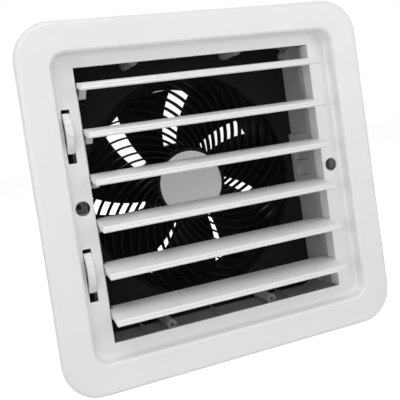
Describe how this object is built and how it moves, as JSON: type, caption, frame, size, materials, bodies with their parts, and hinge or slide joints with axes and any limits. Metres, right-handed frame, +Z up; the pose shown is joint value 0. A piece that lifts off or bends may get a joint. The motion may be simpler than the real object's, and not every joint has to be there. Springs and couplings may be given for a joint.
{
  "type": "camper side vent fan",
  "caption": "Square white wall vent with two banks of thumbwheel-steered louvres in front of a ducted axial fan with a swirl guard, for a camper's side wall.",
  "frame": {"origin": "centre of the flange's back face, on the wall", "axes": "+X to the right as seen from the room, +Y into the wall along the fan's axis, +Z up"},
  "size_m": [0.3, 0.1297, 0.29],
  "materials": {
    "white_abs": "satin",
    "grey_abs": "satin",
    "black_polypropylene": "satin",
    "black_motor_steel": "satin",
    "silver_label_film": "satin",
    "ferrite": "matte",
    "laminated_steel": "brushed",
    "copper": "turned",
    "brush_plate": "matte",
    "ground_steel": "ground",
    "sintered_bronze": "matte",
    "zinc_plated_steel": "plated"
  },
  "bodies": {
    "frame": {"front_frame": "white_abs", "pivot_strip_left": "grey_abs", "pivot_strip_right": "grey_abs", "fan_housing": "grey_abs", "fan_shroud": "black_polypropylene", "fan_guard": "black_polypropylene", "motor_can": "black_motor_steel", "motor_end_cap": "black_motor_steel", "motor_label": "silver_label_film", "motor_magnets": "ferrite", "brush_holder": "brush_plate", "bearing_front": "sintered_bronze", "bearing_rear": "sintered_bronze", "frame_screws": "zinc_plated_steel", "strip_screws": "zinc_plated_steel", "shroud_screws": "zinc_plated_steel", "motor_screws": "zinc_plated_steel"},
    "louvre_1": {"louvre_1": "white_abs"},
    "louvre_2": {"louvre_2": "white_abs", "thumbwheel_upper": "white_abs"},
    "louvre_3": {"louvre_3": "white_abs"},
    "louvre_4": {"louvre_4": "white_abs"},
    "louvre_5": {"louvre_5": "white_abs", "thumbwheel_lower": "white_abs"},
    "louvre_6": {"louvre_6": "white_abs"},
    "tie_bar_upper": {"tie_bar_upper": "white_abs"},
    "tie_bar_lower": {"tie_bar_lower": "white_abs"},
    "rotor": {"fan_rotor": "black_polypropylene", "rotor_nut": "zinc_plated_steel", "motor_shaft": "ground_steel", "motor_armature": "laminated_steel", "motor_commutator": "copper"}
  },
  "joints": [
    {"name": "louvre_1_tilt", "type": "hinge", "parent": "frame", "child": "louvre_1", "pos_m": [0, 0.02, 0.09575], "axis": [1, 0, 0], "range_deg": [-25, 30]},
    {"name": "louvre_2_tilt", "type": "hinge", "parent": "frame", "child": "louvre_2", "pos_m": [0, 0.02, 0.05925], "axis": [1, 0, 0], "range_deg": [-25, 30]},
    {"name": "louvre_3_tilt", "type": "hinge", "parent": "frame", "child": "louvre_3", "pos_m": [0, 0.02, 0.02275], "axis": [1, 0, 0], "range_deg": [-25, 30]},
    {"name": "louvre_4_tilt", "type": "hinge", "parent": "frame", "child": "louvre_4", "pos_m": [0, 0.02, -0.01375], "axis": [1, 0, 0], "range_deg": [-25, 30]},
    {"name": "louvre_5_tilt", "type": "hinge", "parent": "frame", "child": "louvre_5", "pos_m": [0, 0.02, -0.05025], "axis": [1, 0, 0], "range_deg": [-25, 30]},
    {"name": "louvre_6_tilt", "type": "hinge", "parent": "frame", "child": "louvre_6", "pos_m": [0, 0.02, -0.08675], "axis": [1, 0, 0], "range_deg": [-25, 30]},
    {"name": "tie_bar_upper_pin", "type": "hinge", "parent": "louvre_2", "child": "tie_bar_upper", "pos_m": [0, 0.02904, 0.05244], "axis": [1, 0, 0], "range_deg": [-30, 25]},
    {"name": "tie_bar_lower_pin", "type": "hinge", "parent": "louvre_5", "child": "tie_bar_lower", "pos_m": [0, 0.02904, -0.05706], "axis": [1, 0, 0], "range_deg": [-30, 25]},
    {"name": "rotor_spin", "type": "hinge", "parent": "frame", "child": "rotor", "pos_m": [0, 0.1, 0], "axis": [0, 1, 0], "continuous": true}
  ],
  "couplings": [
    {"joint": "louvre_1_tilt", "follows": "louvre_2_tilt", "ratio": 1},
    {"joint": "louvre_3_tilt", "follows": "louvre_2_tilt", "ratio": 1},
    {"joint": "louvre_4_tilt", "follows": "louvre_5_tilt", "ratio": 1},
    {"joint": "louvre_6_tilt", "follows": "louvre_5_tilt", "ratio": 1},
    {"joint": "tie_bar_upper_pin", "follows": "louvre_2_tilt", "ratio": -1},
    {"joint": "tie_bar_lower_pin", "follows": "louvre_5_tilt", "ratio": -1}
  ]
}
